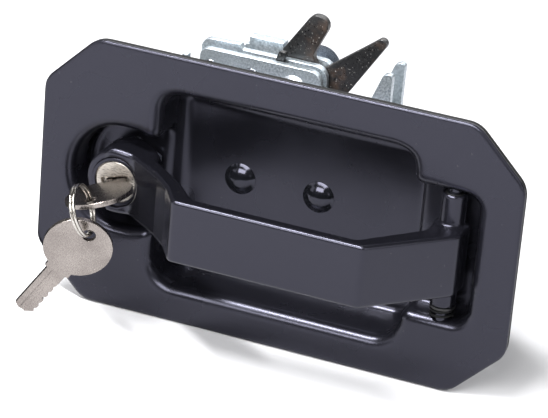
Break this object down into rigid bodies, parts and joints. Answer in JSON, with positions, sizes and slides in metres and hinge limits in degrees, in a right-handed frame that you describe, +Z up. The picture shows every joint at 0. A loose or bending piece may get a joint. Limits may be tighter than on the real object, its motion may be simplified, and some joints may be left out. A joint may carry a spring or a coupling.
{
  "type": "recessed pull handle latch",
  "caption": "Flush-mounted locking pull handle in a pressed steel pan, with a rear rotary fork catch released by a slide bar.",
  "frame": {"origin": "centre of the four mounting studs, on the face that the gasket presses against the door", "axes": "+X along the flange from lock to hinge, +Z up, +Y into the door"},
  "size_m": [0.1916, 0.1029, 0.1213],
  "materials": {
    "powder_coat": "satin black powder coat",
    "handle_black": "semi-gloss black powder coat on die-cast zinc",
    "gloss_black": "gloss black paint on steel",
    "gasket_rubber": "closed-cell rubber",
    "zinc_plate": "bright blue-white zinc plating on stamped steel",
    "zinc_hardware": "zinc plating",
    "black_steel": "black oxide",
    "blued_steel": "blued steel",
    "spring_steel": "oil-tempered wire",
    "housing_white": "bright drawn steel",
    "nickel": "bright nickel plating",
    "key_nickel": "nickel-plated brass, die-rolled",
    "brass": "plain brass",
    "nylon": "black acetal"
  },
  "bodies": {
    "pan": {"pan": "powder_coat", "gasket": "gasket_rubber", "mounting_studs": "zinc_hardware", "catch_bolts": "gloss_black", "bolt_washers": "zinc_hardware", "bolt_nuts": "zinc_hardware", "front_plate": "zinc_plate", "middle_plate": "zinc_plate", "rear_plate": "zinc_plate", "plate_spacers": "zinc_hardware", "plate_rivets": "zinc_hardware", "slide_pins": "zinc_hardware", "rotor_pivot": "zinc_hardware", "rotor_drum": "blued_steel", "rotor_spring": "spring_steel", "spring_housing": "housing_white", "pawl_spring": "spring_steel", "handle_pin": "gloss_black", "handle_spring": "spring_steel"},
    "handle": {"handle": "handle_black", "handle_bushes": "nylon", "lock_bezel": "handle_black", "lock_barrel": "nickel", "lock_nut": "zinc_hardware"},
    "plug": {"lock_plug": "nickel", "lock_wafers": "brass", "lock_cam": "zinc_plate", "cam_washer": "zinc_hardware", "cam_screw": "zinc_hardware"},
    "key": {"key": "key_nickel"},
    "key_ring": {"key_ring": "nickel"},
    "spare_key": {"spare_key": "key_nickel"},
    "rotor": {"rotor": "black_steel", "rotor_bush": "brass"},
    "pawl": {"pawl": "black_steel", "pawl_shaft": "zinc_hardware", "shaft_clip": "black_steel", "trip_lever": "black_steel"},
    "slide_bar": {"slide_bar": "zinc_plate"}
  },
  "joints": [
    {"name": "handle_pull", "type": "hinge", "parent": "pan", "child": "handle", "pos_m": [0.0685, 0, 0], "axis": [0, 0, 1], "range_deg": [0, 22], "stiffness_Nm_per_rad": 0.8, "springref_deg": -28.65},
    {"name": "plug_turn", "type": "hinge", "parent": "handle", "child": "plug", "pos_m": [-0.0625, 0, 0], "axis": [0, 1, 0], "range_deg": [0, 90]},
    {"name": "key_slide", "type": "slide", "parent": "plug", "child": "key", "axis": [0, -1, 0], "range_m": [0, 0.025]},
    {"name": "ring_swing", "type": "hinge", "parent": "key", "child": "key_ring", "pos_m": [-0.0625, -0.0292, 0], "axis": [-0.2924, 0, 0.9563], "range_deg": [-15, 15]},
    {"name": "spare_key_swing", "type": "hinge", "parent": "key_ring", "child": "spare_key", "pos_m": [-0.05815, -0.0387, -0.00843], "axis": [-0.3662, 0.9058, 0.2133], "range_deg": [-35, 20]},
    {"name": "rotor_turn", "type": "hinge", "parent": "pan", "child": "rotor", "pos_m": [-0.006, 0.034, 0.04], "axis": [0, 1, 0], "range_deg": [0, 72], "stiffness_Nm_per_rad": 0.1, "springref_deg": -57.3},
    {"name": "pawl_turn", "type": "hinge", "parent": "pan", "child": "pawl", "pos_m": [-0.023, 0.034, 0.0415], "axis": [0, 1, 0], "range_deg": [0, 13.9]},
    {"name": "slide_bar_travel", "type": "slide", "parent": "pan", "child": "slide_bar", "axis": [-1, 0, 0], "range_m": [0, 0.0118]}
  ],
  "couplings": [
    {"joint": "pawl_turn", "follows": "handle_pull", "ratio": 0.63091},
    {"joint": "slide_bar_travel", "follows": "handle_pull", "m_per_rad": 0.030705}
  ]
}
